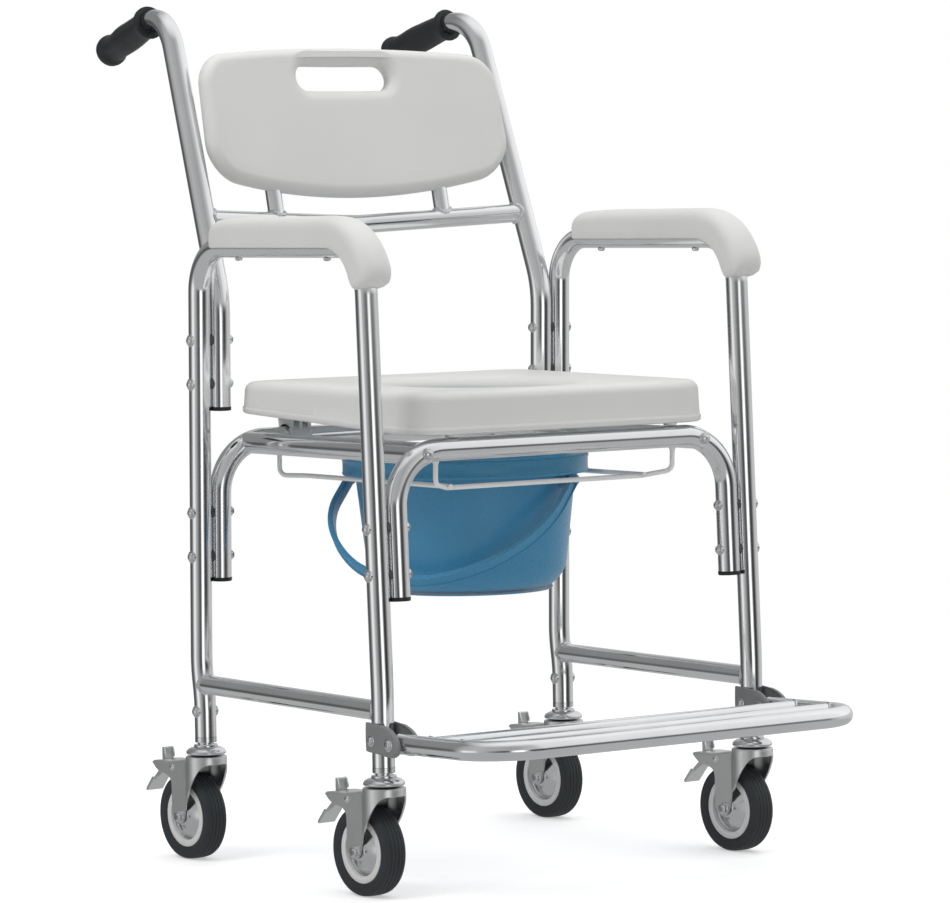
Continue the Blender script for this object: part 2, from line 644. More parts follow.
def arm_pad_geo(x):
    """A pad with a domed section swept along the arm tube and down its front bend."""
    corners = [(x, PAD_MID_Y + PAD_REAR, ARM_Z), (x, front_leg_y(ARM_Z), ARM_Z), (x, front_leg_y(600), 600)]
    path = bent_path(corners, [0, ARM_BEND_R, 0], 3)
    dense = [path[0]]
    for a, b in zip(path, path[1:]):
        pieces = max(1, round((b - a).length / 2.0))
        dense += [a.lerp(b, k / pieces) for k in range(1, pieces + 1)]
    dense = [point for point in dense if point.z > PAD_FRONT_Z]
    run = [0.0]
    for a, b in zip(dense, dense[1:]):
        run.append(run[-1] + (b - a).length)
    total = run[-1]
    half, crown, foot = 21.0, PAD_OVER, -1.5
    outline = [(-half + 3.0, foot), (-half + 0.6, foot + 1.2), (-half, foot + 4)]
    outline += [(-half, crown * k) for k in (0.3, 0.42, 0.54)]
    outline += [
        (-half * math.cos(a) ** 0.72, crown * 0.54 + crown * 0.46 * math.sin(a) ** 0.86)
        for a in [math.pi / 2 * k / 11 for k in range(1, 12)]
    ]
    outline += [(-a, b) for a, b in reversed(outline)]

    def section(i):
        from_rear, from_front = run[i], total - run[i]
        height = 1 - 0.10 * max(0.0, 1 - from_rear / 90) ** 2
        width = 1.0
        if from_rear < 17:
            height *= 0.45 + 0.55 * math.sqrt(max(0, 1 - ((17 - from_rear) / 17) ** 2))
        if from_rear < 9:
            width = 0.74 + 0.26 * math.sqrt(max(0, 1 - ((9 - from_rear) / 9) ** 2))
        if from_front < 15:
            shrink = math.sqrt(max(0, 1 - ((15 - from_front) / 15) ** 2))
            height, width = 0.56 + 0.44 * shrink, 0.70 + 0.30 * shrink
        return [(a * width, b * height if b > 0 else b) for a, b in outline]

    return sweep(dense, section, reference=(1, 0, 0))


SCREW_ROWS = [(2, -12.6), (4.4, -12.6), (4.4, -13.4), (3.9, -15), (2.6, -16), (1.1, -16.2)]
SCREW_ROWS += [(0.9, -15.2), (0, -15.1)]
screws = Geo()
for side, name in NAMED_SIDES:
    pad = arm_pad_geo(side * LEG_X)
    piece(f"{name}_armrest", pad, SEAT_PLASTIC, "chair_frame", [f"{name}_arm_pad"])
    for y in (-92, 92):
        screws.add(lathe(SCREW_ROWS, 28), turned(side * LEG_X, PAD_MID_Y + y, ARM_Z))
piece("armrest_screws", screws, BRIGHT, "chair_frame", ["arm_pad_screws"])

# Outlines as signed distances, so that each can be offset inwards


def corner_distance(a, b, r):
    """Distance outside the rounded corner of two edges whose own distances are a and b."""
    a, b = a + r, b + r
    return min(max(a, b), 0) + math.hypot(max(a, 0), max(b, 0)) - r


def reach(distance, centre, angle, inset):
    """How far from the centre the outline, moved inwards by inset, lies in one direction."""
    low, high = 0.0, 400.0
    dx, dy = math.cos(angle), math.sin(angle)
    for _ in range(34):
        middle = (low + high) / 2
        if distance(centre[0] + dx * middle, centre[1] + dy * middle) < -inset:
            low = middle
        else:
            high = middle
    return low


def ring_body(outer, inner, centre, rows, sides, level):
    """A slab with an opening. Each row is (share, inset, opening_offset, height key):
    share 0 lies on the opening's outline and 1 on the slab's outline."""
    geo = Geo()
    cache = {}

    def radius(which, k, inset):
        key = (which, k, round(inset, 4))
        if key not in cache:
            angle = 2 * math.pi * k / sides
            cache[key] = reach(outer if which else inner, centre, angle, inset)
        return cache[key]

    for share, inset, offset, height in rows:
        for k in range(sides):
            angle = 2 * math.pi * k / sides
            r = 0.0
            if share < 1:
                r += (1 - share) * radius(0, k, -offset)
            if share > 0:
                r += share * radius(1, k, inset)
            x, y = centre[0] + r * math.cos(angle), centre[1] + r * math.sin(angle)
            geo.verts.append(level(x, y, height))
    grid_faces(geo, len(rows), sides, wrap_rows=True)
    return geo


def quarter(count):
    return [math.pi / 2 * k / count for k in range(count + 1)]


# Seat


def seat_outer(x, y):
    return corner_distance(abs(x) - SEAT_W / 2, abs(y - SEAT_MID_Y) - SEAT_L / 2, SEAT_CORNER_R)


def seat_inner(x, y):
    return math.hypot(x, max(0.0, abs(y - SEAT_MID_Y) - OPENING_HALF)) - OPENING_R


def seat_level(x, y, height):
    """Heights from 0, the underside, to 1, the top, follow the seat's two planes; the rest is in mm."""
    share, extra = height
    run = y - SEAT_FRONT_Y
    top = SEAT_TOP_Z + run * TOP_SLOPE
    under = SEAT_UNDER_Z + run * UNDER_SLOPE
    return Vector((x, y, under + (top - under) * share + extra))


seat_rows = []
for a in quarter(9):  # the soft roll from the opening's wall to the top
    seat_rows.append((0, 0, 20 * (1 - math.cos(a)), (1, -16 * (1 - math.sin(a)) - 1.2)))
for k in range(1, 8):  # the top, a little dished towards the opening
    t = k / 8
    seat_rows.append((t, 15, 20, (1, -1.2 + 1.2 * t**0.6)))
for a in quarter(8):  # the outer edge
    seat_rows.append((1, 3 + 12 * (1 - math.sin(a)), 0, (1, -11 * (1 - math.cos(a)))))
seat_rows += [
    (1, 2.4, 0, (0.5, 0)),
    (1, 1.6, 0, (0.2, 0)),
    (1, 1.3, 0, (0, 8)),
    (1, 0.2, 0, (0, 7)),
    (1, 0.0, 0, (0, 5.5)),
    (1, 0.6, 0, (0, 1.4)),
    (1, 2.6, 0, (0, 0.1)),
    (1, 7.0, 0, (0, 0.1)),
    (1, 8.4, 0, (0, 1.2)),
    (1, 9.5, 0, (0, 9)),
    (0.5, 9.5, 12, (0, 9.5)),
    (0, 0, 12, (0, 9)),
    (0, 0, 10.5, (0, 1.2)),
    (0, 0, 9, (0, 0.1)),
    (0, 0, 2.2, (0, 0.1)),
    (0, 0, 0.5, (0, 1.6)),
    (0, 0, 0, (0.3, 0)),
]
seat_geo = ring_body(seat_outer, seat_inner, (0, SEAT_MID_Y), seat_rows, 320, seat_level)
piece("seat_shell", seat_geo, SEAT_PLASTIC, "seat_body", ["seat"], sharp=50)

feet = Geo()
for side in SIDES:
    foot_z = SEAT_FRAME_Z + TUBE_R + 0.4
    rows = [(0, 0), (6.6, 0), (7.6, 0.8), (8, 2), (8, 12)]
    feet.add(lathe([(r, foot_z + z) for r, z in rows], 36), turned(side * 150, front_leg_y(SEAT_FRAME_Z), 0))
piece("seat_feet", feet, SEAT_PLASTIC, "seat_body")

clips = Geo()
hinge_y = rear_leg_y(SEAT_FRAME_Z)
for side in SIDES:
    outer_r, inner_r = TUBE_R + 3.5, TUBE_R + 0.1
    half_open = math.radians(-14)
    arc = [half_open + (math.pi - 2 * half_open) * k / 28 for k in range(29)]
    outline = [(outer_r * math.cos(a), outer_r * math.sin(a)) for a in arc]
    outline += [(inner_r * math.cos(a), inner_r * math.sin(a)) for a in reversed(arc)]
    place = turned(side * CLIP_X - CLIP_W / 2, hinge_y, SEAT_FRAME_Z, SIDE_PLANE)
    clips.add(prism(outline, 0, CLIP_W), place)
    under = SEAT_UNDER_Z + (hinge_y - SEAT_FRONT_Y) * UNDER_SLOPE - SEAT_FRAME_Z + 9
    for offset in (0, CLIP_W / 2 - 2, CLIP_W - 4):
        web = [(-13, 10), (13, 10), (17, under), (-17, under)]
        clips.add(prism(web, offset, offset + 4), place)
piece("seat_hinge_clips", clips, SEAT_PLASTIC, "seat_body", ["seat_clips"], bevel=0.5)

# Backrest

PANEL_LOW, PANEL_HIGH, SLOT_H = 28.0, 210.0, 173.0
PANEL_BACK = BACK_CURVE_R - math.sqrt(BACK_CURVE_R**2 - POST_X**2) - 4
PANEL_HALF_T = 14.5


def back_outer(x, h):
    """Bowed top and bottom, sides that draw in a little towards the top, tighter upper corners.
    The factors make each sloping edge's distance about true."""
    middle = (PANEL_LOW + PANEL_HIGH) / 2
    side = (abs(x) - 211 + max(0, h - 80) * 0.04) * 0.999
    if h > middle:
        edge = (h - PANEL_HIGH + x * x / 2800) * 0.995
        return corner_distance(side, edge, 34)
    edge = (PANEL_LOW - h + x * x / 1860) * 0.985
    return corner_distance(side, edge, 42)


def back_inner(x, h):
    return math.hypot(max(0.0, abs(x) - 50), h - SLOT_H) - 16


def back_level(x, h, height):
    """height is how far the point lies behind the panel's curved middle sheet."""
    return BACK_PLANE @ Vector((x, PANEL_BACK - x * x / (2 * BACK_CURVE_R) + height, h))


back_rows = [(0, 0, 0, 0)]
for a in quarter(8)[1:]:
    back_rows.append((0, 0, 15 * (1 - math.cos(a)), -3 - (PANEL_HALF_T - 4) * math.sin(a)))
for k in range(1, 9):
    back_rows.append((k / 9, 13, 15, -PANEL_HALF_T + 1))
for a in [math.pi * k / 20 for k in range(21)]:
    back_rows.append((1, 13 * (1 - math.sin(a)), 0, -(PANEL_HALF_T - 1) * math.cos(a)))
for k in range(8, 0, -1):
    back_rows.append((k / 9, 13, 11, PANEL_HALF_T - 1))
for a in quarter(8)[:0:-1]:
    back_rows.append((0, 0, 11 * (1 - math.cos(a)), 4 + (PANEL_HALF_T - 5) * math.sin(a)))
back_geo = ring_body(back_outer, back_inner, (0, SLOT_H), back_rows, 360, back_level)
piece("backrest_shell", back_geo, SEAT_PLASTIC, "chair_frame", ["backrest_panel"], sharp=70)

# Bucket, bail and holder

bottom_z = RIM_Z - BUCKET_DEPTH
foot_ring = [(0, 1.5), (BOTTOM_R - 16, 1.5), (BOTTOM_R - 15, 0), (BOTTOM_R - 11, 0), (BOTTOM_R - 9, 2)]
wall = [(BOTTOM_R - 10, bottom_z + 2.1), (BOTTOM_R + 4, bottom_z + 4), (BODY_R, RIM_Z - 20)]
inner_wall = [(BODY_R - 3.2, RIM_Z - 30), (BOTTOM_R + 1, bottom_z + 6.5), (0, bottom_z + 5)]
# The rim turns out, down and back up over the top; each point is (from RIM_R, from RIM_Z)
rim = [
    (-3.4, -20), (-3.0, -21.3), (-1.4, -21.6), (-0.5, -20.6), (-0.3, -18.8), (-1.0, -17.6), (-0.9, -5.6),
    (-0.1, -4.4), (0, -1.6), (-0.9, -0.3), (-2.4, 0), (-4, -0.7), (-6.5, -3.4),
]
lip = [(3, -4.4), (-0.5, -5.4), (-2.6, -9), (-3, -20)]  # (from BODY_R, from RIM_Z)
profile = rounded([(r, bottom_z + z) for r, z in foot_ring], 1.0) + rounded(wall, 38, 9)[1:]
profile += [(BODY_R + 0.5, RIM_Z - 20.6)] + [(RIM_R + r, RIM_Z + z) for r, z in rim]
profile += [(BODY_R + r, RIM_Z + z) for r, z in lip] + rounded(inner_wall, 34, 9)[1:]
bucket_geo = Geo().add(lathe(profile, 144), turned(0, BUCKET_Y, 0))
bucket_shell = piece(
    "bucket_shell", bucket_geo, BUCKET_BLUE, "bucket_body", ["bucket"], sharp=40
)
bucket_shell.visible_glossy = False  # as in the photo, the tubes show no blue

lugs = Geo()
for side in SIDES:
    end = LUG_R + (BAIL_LEAN if side < 0 else 0)
    pin = [(4.4, BODY_R - 6), (4.4, end + 2.2), (5.4, end + 2.4), (5.4, end + 3.4)]
    pin += [(4.6, end + 4), (0, end + 4)]
    place = turned(0, BUCKET_Y, LUG_Z, [(BAIL_TURN, "Z"), (side * 90, "Y")])
    lugs.add(lathe(pin, 32), place)
    boss = [(11, BODY_R - 9), (10.5, BODY_R + 2), (9.5, BODY_R + 5), (7, BODY_R + 6), (4.4, BODY_R + 6)]
    lugs.add(lathe(boss, 36), place)
piece("bucket_lugs", lugs, BUCKET_BLUE, "bucket_body")


def bail_geo():
    """A channel strap bent to a half ring, with an eye at each end and a thicker hand hold."""
    radius = LUG_R - 2
    drop = LUG_R - BAIL_DROP
    path = [Vector((radius, 0, 0)), Vector((radius, 0, drop / 2)), Vector((radius, 0, drop))]
    count = 96
    for k in range(1, count):
        a = math.pi * k / count
        t = max(0.0, (k / count - 0.72) / 0.28)  # the lean starts well round the ring
        lean = BAIL_LEAN * t * t * (3 - 2 * t)
        path.append(Vector((radius * math.cos(a) - lean, 0, drop - radius * math.sin(a))))
    left = -radius - BAIL_LEAN
    path += [Vector((left, 0, drop)), Vector((left, 0, drop / 2)), Vector((left, 0, 0))]
    channel = [(-6.6, -2.2), (6.6, -2.2), (6.6, 4.2), (5.4, 4.2), (4.8, 2.4), (-4.4, 2.4), (-5.0, 4.2)]
    outline = rounded_loop(channel + [(-6.6, 4.2)], 0.5, 45)

    def section(i):
        from_middle = i - len(path) / 2
        wave = 0.6 * math.exp(-((from_middle / 11) ** 4)) * math.sin(from_middle * 0.75)
        return [(a + (wave if a < 0 else 0), b) for a, b in outline]

    geo = sweep(path, section, reference=(0, 1, 0))
    for x in (radius, left):
        eye = [(4.6, 2), (8.6, 2), (9, 1.5), (9, -1.5), (8.6, -2), (4.6, -2), (4.6, 2)]
        geo.add(lathe(eye, 40), turned(x, 0, 0, ALONG_X))
    return geo


bail_place = turned(0, BUCKET_Y, LUG_Z, [(BAIL_TURN, "Z"), (-BAIL_SWING, "X")])
bail = Geo().add(bail_geo(), bail_place)
piece("bail_strap", bail, BUCKET_BLUE, "bail_body", ["bucket_bail"])

holder = Geo()
holder_front = front_leg_y(WIRE_Z) + 36
holder_rear = rear_leg_y(WIRE_Z) - 6
hoop_under = SEAT_FRAME_Z - TUBE_R + 3
half_wire = [
    (WIRE_X + 1, holder_front, WIRE_Z - 1.5),
    (WIRE_END_X, holder_front - 20, WIRE_Z + 4.5),
    (WIRE_END_X, holder_front - 21, hoop_under),
]
front_wire = [(-x, y, z) for x, y, z in half_wire[::-1]] + half_wire
holder.add(tube(bent_path(front_wire, [0, 9, 14, 14, 9, 0], 10), WIRE_R, 20, reference=(0, 1, 0)))
for side in SIDES:
    long_wire = [
        (side * WIRE_X, holder_front - 7, WIRE_Z),
        (side * WIRE_X, holder_rear - 34, WIRE_Z),
        (side * WIRE_FLARE, holder_rear, WIRE_Z),
        (side * WIRE_FLARE, holder_rear, hoop_under),
    ]
    holder.add(tube(bent_path(long_wire, [0, 30, 9, 0], 8), WIRE_R, 20))
    for x, y in ((WIRE_END_X, holder_front - 21), (WIRE_FLARE, holder_rear)):
        blob = [(0, -7), (2.6, -6.4), (3.4, -4), (4.6, -1), (5.2, 1.5), (3, 3)]
        holder.add(lathe(blob, 24), turned(side * x, y, hoop_under - 2))
piece("holder_wires", holder, WIRE_WHITE, "chair_frame", ["bucket_holder"])

# Footrest

FOOTREST_PLANE = turned(0, FOOTREST_Y, FOOTREST_Z, [(-FOOTREST_SLOPE, "X")])
loop = bent_path(
    [
        FOOTREST_PLANE @ Vector((x, -y, 0))
        for x, y in ((-LEG_X, 0), (-LEG_X, FOOTREST_REACH), (LEG_X, FOOTREST_REACH), (LEG_X, 0))
    ],
    [0, FOOTREST_BEND, FOOTREST_BEND, 0],
    4,
)


def loop_section(i):
    """The tube's ends are pressed flat where they enter the brackets."""
    near = min((loop[i] - loop[0]).length, (loop[i] - loop[-1]).length)
    flat = max(0.0, 1 - near / 34)
    return [(a * (1 - 0.16 * flat), b * (1 + 0.04 * flat)) for a, b in ring(FOOTREST_R, 48)]


ends = [loop[0].lerp(loop[1], k / 8) for k in range(8)]
far_ends = [loop[-2].lerp(loop[-1], k / 8) for k in range(1, 9)]
loop = ends + loop[1:-1] + far_ends
loop_geo = sweep(loop, loop_section, reference=(1, 0, 0))
piece("footrest_frame", loop_geo, TUBE_METAL, "footrest_body", ["footrest_loop"])
slats, slat_beads = Geo(), Geo()
for gap in SLATS_FROM_FRONT:
    middle = FOOTREST_PLANE @ Vector((0, gap - FOOTREST_REACH, 0))
    ends = [middle + Vector((side * (LEG_X - 6), 0, 0)) for side in SIDES]
    slats.add(tube(ends, SLAT_R, reference=(0, 1, 0)))
    for side in SIDES:
        main = middle + Vector((side * LEG_X, 0, 0))
        along = FOOTREST_PLANE.to_3x3() @ Vector((0, 1, 0))
        start = main - Vector((side * 30, 0, 0))
        slat_beads.add(weld(start, (side, 0, 0), main, along, SLAT_R, FOOTREST_R, 1.6))
piece("footrest_bars", slats, TUBE_METAL, "footrest_body", ["footrest_slats"])
piece("footrest_welds", slat_beads, WELD, "footrest_body")


def bracket_outline(grow):
    """A cheek's outline from the side, as (y, z) from the leg's centre and the pivot's height."""
    points = [
        (10.8, -7), (7.5, -10.6), (-10, -11.2), (-24, -12.2), (-34, -12.8), (-41, -12.2), (-46.5, -9.2),
        (-49.3, -4), (-48.8, 1.5), (-44.5, 7.8), (-37, 13.2), (-27, 16.8), (-14, 18.9), (7, 20.6),
        (10.8, 17.6),
    ]
    middle = Vector((-18, 3))
    return [tuple(Vector(p) + (Vector(p) - middle).normalized() * grow) for p in points]


def smooth_loop(points, steps=4):
    """A closed curve through the points."""
    out = []
    count = len(points)
    for i in range(count):
        a, b, c, d = (Vector(points[(i + k) % count]) for k in (-1, 0, 1, 2))
        for k in range(steps):
            t = k / steps
            curve = (2 * a - 5 * b + 4 * c - d) * t * t + (3 * b - a - 3 * c + d) * t**3
            spot = 0.5 * (2 * b + (c - a) * t + curve)
            out.append((spot.x, spot.y))
    return out


def bracket_geo():
    """Two flat cheeks beside the leg; each one's edge is rolled a little towards the other."""
    geo = Geo()
    inner = TUBE_R + 0.3
    # How far each outline lies from the cheek's inner face, and how much it is grown
    stack = [
        (0, -2.2), (0, -1.0), (-1.6, -0.5), (-2.2, 0.4), (-1.8, 1.5), (-0.4, 1.9), (1.2, 1.6), (2.4, 0.7),
        (3.0, -0.6), (3.2, -2.2),
    ]
    for side in SIDES:
        part = Geo()
        for depth, grow in stack:
            # The roll only runs along the front half; the part beside the leg stays flat
            rolled = smooth_loop(bracket_outline(grow))
            flat = smooth_loop(bracket_outline(min(grow, 0.6)))
            for (y, z), (flat_y, flat_z) in zip(rolled, flat):
                share = min(1.0, max(0.0, (-14 - flat_y) / 6))
                across = inner + depth * (share if depth < 0 else 1)
                y, z = flat_y + (y - flat_y) * share, flat_z + (z - flat_z) * share
                part.verts.append(Vector((side * across, y, z)))
        count = len(part.verts) // len(stack)
        grid_faces(part, len(stack), count)
        part.face(range(count - 1, -1, -1))
        part.face(range(len(part.verts) - count, len(part.verts)))
        if side < 0:
            part.faces = [f[::-1] for f in part.faces]
        geo.add(part)
    return geo


for side, name in NAMED_SIDES:
    bracket = Geo().add(bracket_geo(), turned(side * LEG_X, FRONT_Y, FOOTREST_Z))
    replaced = [f"{name}_footrest_bracket"]
    piece(f"{name}_foot_bracket", bracket, BRACKET_GREY, "chair_frame", replaced, sharp=50)

bracket_bolts = Geo()
outer = TUBE_R + 3.3
for side in SIDES:
    for y, z, r in ((FRONT_Y, STEM_BOLT_Z, 5.0), (FOOTREST_Y, FOOTREST_Z, 6.0)):
        washer = [(r + 1.6, -0.2), (r + 1.6, 0.7), (r + 1.2, 1.0), (r - 1, 1.0)]
        head = [(r - 0.6, 0.9), (r - 0.6, 2.2), (r - 1.4, 3.4), (r - 3, 4), (1.5, 4), (1.3, 2.8), (0, 2.8)]
        for turn in SIDES:
            place = toward_x(side * LEG_X, y, z, turn) @ turned(0, 0, outer)
            bracket_bolts.add(lathe(washer, 36), place).add(lathe(head, 32), place)
    bracket_bolts.add(cross_pin(side * LEG_X, FOOTREST_Y, FOOTREST_Z, outer, 4.0, 24))
piece("bracket_bolt_heads", bracket_bolts, BRIGHT, "chair_frame", ["footrest_bolts"])

# Casters, drawn round the swivel axis with the wheel trailing towards +Y


def stem_geo():
    """The stem, its bushing under the leg, a nut, and the swivel race; heights are from the leg's end."""
    rows = [(0, 34), (10, 34), (10, 0), (12.6, -0.3), (12.6, -5.8), (12.2, -6.3), (9.4, -6.4), (9.4, -8.8)]
    rows += [(13.4, -8.9), (14, -9.5), (14, -11.1), (13.6, -11.6), (14.6, -11.8), (18.4, -12.8)]
    rows += [(21.4, -14.6), (22.9, -16.6), (23.2, -18.2), (22.6, -19.4), (20, -19.8), (18, -21.1), (0, -21.1)]
    return lathe([(r, LEG_END_Z + z) for r, z in rows], 72)


def cup_geo():
    """The bearing cup inside the fork's skirt."""
    rows = [(0, RACE_Z - 0.2), (20.6, RACE_Z - 0.2), (22.4, RACE_Z - 0.5), (23.5, RACE_Z - 1.2)]
    rows += [(24.0, RACE_Z - 2.4), (23.8, CUP_Z + 5), (23.0, CUP_Z + 1.5), (19.5, CUP_Z + 0.4)]
    return lathe(rows + [(12, CUP_Z), (0, CUP_Z)], 72)


# The lower edge of a cheek: (y, z) on its flat part from the rear, then (degrees from the front, z) on its
# curved part, which follows the cup
FLAT_EDGE = [
    (83.5, 109.8), (80, 105.0), (76, 101.8), (72, 99.8), (65, 98.2), (57, 96.9), (52, 95.2), (48.2, 92.4),
    (46.2, 88.5), (45.5, 84), (45.5, 70), (45.4, 57), (44.6, 51), (42.5, 46), (39, 42.6), (35, 40.8),
    (30.5, 40.4), (26.5, 42.2), (23.5, 46), (21.6, 52), (19.5, 60), (17.6, 68), (16.0, 71),
]
ROUND_EDGE = [
    (130, 71.6), (122, 72.6), (115, 73.4), (108, 76.4), (102, 79.6), (95, 83.8), (88.5, 87.8), (80, 93.4),
    (75, 96.6), (70, 99.8), (64, 103.2), (57.5, 106.7), (52, 109), (46, 110.8), (38, 112.2), (29, 112.9),
    (15, 113.1), (0, 113.2),
]


def fork_top(y):
    """The height of the fork's top plate, which drops away from the cup."""
    share = min(1.0, max(0.0, (y - 12) / 44))
    return CUP_Z + 4.6 - 5.2 * share * share * (3 - 2 * share) - max(0.0, y - 70) * 0.10


def flipped(geo):
    """A copy mirrored in X, with its faces still outwards."""
    out = Geo().add(geo, Matrix.Scale(-1, 4, (1, 0, 0)))
    out.faces = [f[::-1] for f in out.faces]
    return out


def plate_geo(rows, half_in):
    """A strip of the fork's top plate; its outer edge rolls down into the cheek."""
    geo = Geo()
    outline = [
        (half_in, 0), (FORK_HALF - 3.2, 0), (FORK_HALF - 1.7, -0.4), (FORK_HALF - 0.5, -1.5),
        (FORK_HALF, -3.2), (FORK_IN, -3.4), (FORK_IN - 1, -2.4), (half_in, -2.4),
    ]
    for y in rows:
        geo.verts += [Vector((x, y, fork_top(y) + z)) for x, z in outline]
    grid_faces(geo, len(rows), len(outline))
    geo.face(range(len(outline) - 1, -1, -1))
    geo.face(range(len(geo.verts) - len(outline), len(geo.verts)))
    return geo


def fork_geo():
    """One folded sheet: a skirt round the cup's front that runs into two flat cheeks, and a top plate."""
    columns = []
    for y, low in FLAT_EDGE:
        columns.append((Vector((-FORK_HALF, y, 0)), Vector((-1, 0, 0)), low, fork_top(y) - 3.0))
    for degrees, low in ROUND_EDGE:
        a = math.radians(degrees)
        out = Vector((-math.sin(a), -math.cos(a), 0))
        blend = min(1.0, (131 - degrees) / 14)
        top = (fork_top(16) - 3.0) * (1 - blend) + (RACE_Z - 1.1) * blend
        columns.append((out * SKIRT_R, out, low, top))
    for p, n, low, top in columns[-2::-1]:
        columns.append((Vector((-p.x, p.y, 0)), Vector((-n.x, n.y, 0)), low, top))
    geo = Geo()
    steps = 7
    count = 2 * steps + 4
    for point, normal, low, top in columns:
        inner = point - normal * FORK_T
        edge = [(point - normal * 0.5, low), (point, low + 0.5)]
        edge += [(point, low + (top - low) * k / steps) for k in range(1, steps + 1)]
        edge += [(inner, low + (top - low) * k / steps) for k in range(steps, 0, -1)]
        edge += [(inner, low + 0.5), (inner + normal * 0.5, low)]
        geo.verts += [spot + Vector((0, 0, z)) for spot, z in edge]
    grid_faces(geo, len(columns), count)
    geo.face(range(count - 1, -1, -1))
    geo.face(range(len(geo.verts) - count, len(geo.verts)))
    whole = plate_geo([15 + 55.5 * k / 18 for k in range(19)], -0.05)
    tail = plate_geo([70.3 + 13.1 * k / 5 for k in range(6)], 8.6)
    return geo.add(flipped(whole)).add(flipped(tail)).add(whole).add(tail)


def brake_geo():
    """A bent pedal: a strap from the rivet, a release tab behind the plate, and a ribbed foot plate."""
    geo = Geo()

    def add(points, low, high, radius=0):
        geo.add(side_plate([(TRAIL + y, z) for y, z in points], low, high, radius))

    strap = [(10, 101), (24, 99.4), (46, 99), (48, 103), (45, 106.5), (12, 108.5)]
    tab = [(41, 103), (45, 101), (49.9, 104), (49.9, 124.5), (49.1, 126), (47.9, 126), (47.1, 124.8)]
    tab.append((46.9, 108))
    wing = [(44.4, 114), (48.5, 113), (48.5, 125), (46.1, 124.5), (44, 118)]
    arm = [(43, 99.5), (64, 86.4), (66, 89.6), (49, 104.5)]
    foot = [(61.9, 88.8), (63.4, 87.4), (76.4, 72.6), (78.2, 73.4), (78.4, 75.8), (65.8, 90.4)]
    add(strap, -7, 7, 1.5)
    add(tab, -7, 7, 0.6)
    add(wing, -7.2, -5.6, 0.8)
    add(wing, 5.6, 7.2, 0.8)
    add(arm, -8, 8, 0.8)
    add(foot, -11, 11, 0.9)
    for k in range(3):
        y, z = 67.9 + 3.0 * k, 88.2 - 3.6 * k
        add([(y, z - 1), (y + 1.4, z - 2.6), (y + 2.2, z - 1.4), (y + 0.9, z + 0.2)], -8, 8)
    return geo


def tyre_geo():
    """A solid tyre with two grooves round its tread and a raised bead at the rim."""
    half = [
        (0, 50), (1.5, 50), (2.1, 49.3), (2.8, 49.3), (3.4, 50), (6.3, 49.9), (6.9, 49.2), (7.6, 49.1),
        (8.3, 49.7), (11, 49.3), (12.9, 48.3), (14, 46.6), (14.4, 44.4), (14.4, 41.5), (13.8, 39.4),
        (12.8, 38), (12.2, 36.4), (11.4, 35.7),
    ]
    rows = [(r, -x) for x, r in reversed(half)] + [(r, x) for x, r in half[1:]]
    return lathe(rows + [(34.8, 9), (34.8, -9)], 128)


# The light ring between tyre and dish, and the bright conical dish with its hub
RING_ROWS = [(27.4, 6), (27.7, 10.4), (28.2, 11.4), (29, 11.7), (34.6, 11.7), (35.5, 11.3)]
RING_ROWS += [(35.9, 10.4), (35.9, 4)]
DISH_ROWS = [(4.2, 14.6), (9.8, 14.6), (10.8, 14.0), (11.6, 12.8), (13, 11.8), (19, 8.4), (25.4, 5.6)]
DISH_ROWS += [(26.6, 6.2), (27.0, 7.4), (27.2, 2)]


def axle_geo():
    """The axle bolt with a washer, a hexagon and its end on each side, and the brake rivet."""
    geo = Geo()
    start = FORK_IN + FORK_T
    rivet_y = TRAIL + 15
    washer = [(7.4, -0.1), (7.4, 1.0), (7.0, 1.3), (5, 1.3)]
    hexagon = [(6.6, 1.2), (6.6, 4.6), (5.8, 5.2), (3.9, 5.3)]
    thread = [(3.9, 4), (3.9, 6.0), (3.4, 6.6), (0, 6.6)]
    dome = [(4.2 * math.cos(a), 2.0 * math.sin(a) - 0.2) for a in quarter(5)]
    for side in SIDES:
        at_axle = toward_x(0, TRAIL, WHEEL_R, side) @ turned(0, 0, start)
        at_rivet = toward_x(0, rivet_y, BRAKE_Z, side) @ turned(0, 0, start)
        geo.add(lathe(washer, 40), at_axle).add(lathe(hexagon, 6), at_axle).add(lathe(thread, 28), at_axle)
        geo.add(lathe(dome, 28), at_rivet)
    geo.add(cross_pin(0, TRAIL, WHEEL_R, start, 4.0, 20))
    return geo.add(cross_pin(0, rivet_y, BRAKE_Z, start, 2.5, 20))


def on_axle(geo):
    return Geo().add(geo, turned(0, TRAIL, WHEEL_R, ALONG_X))


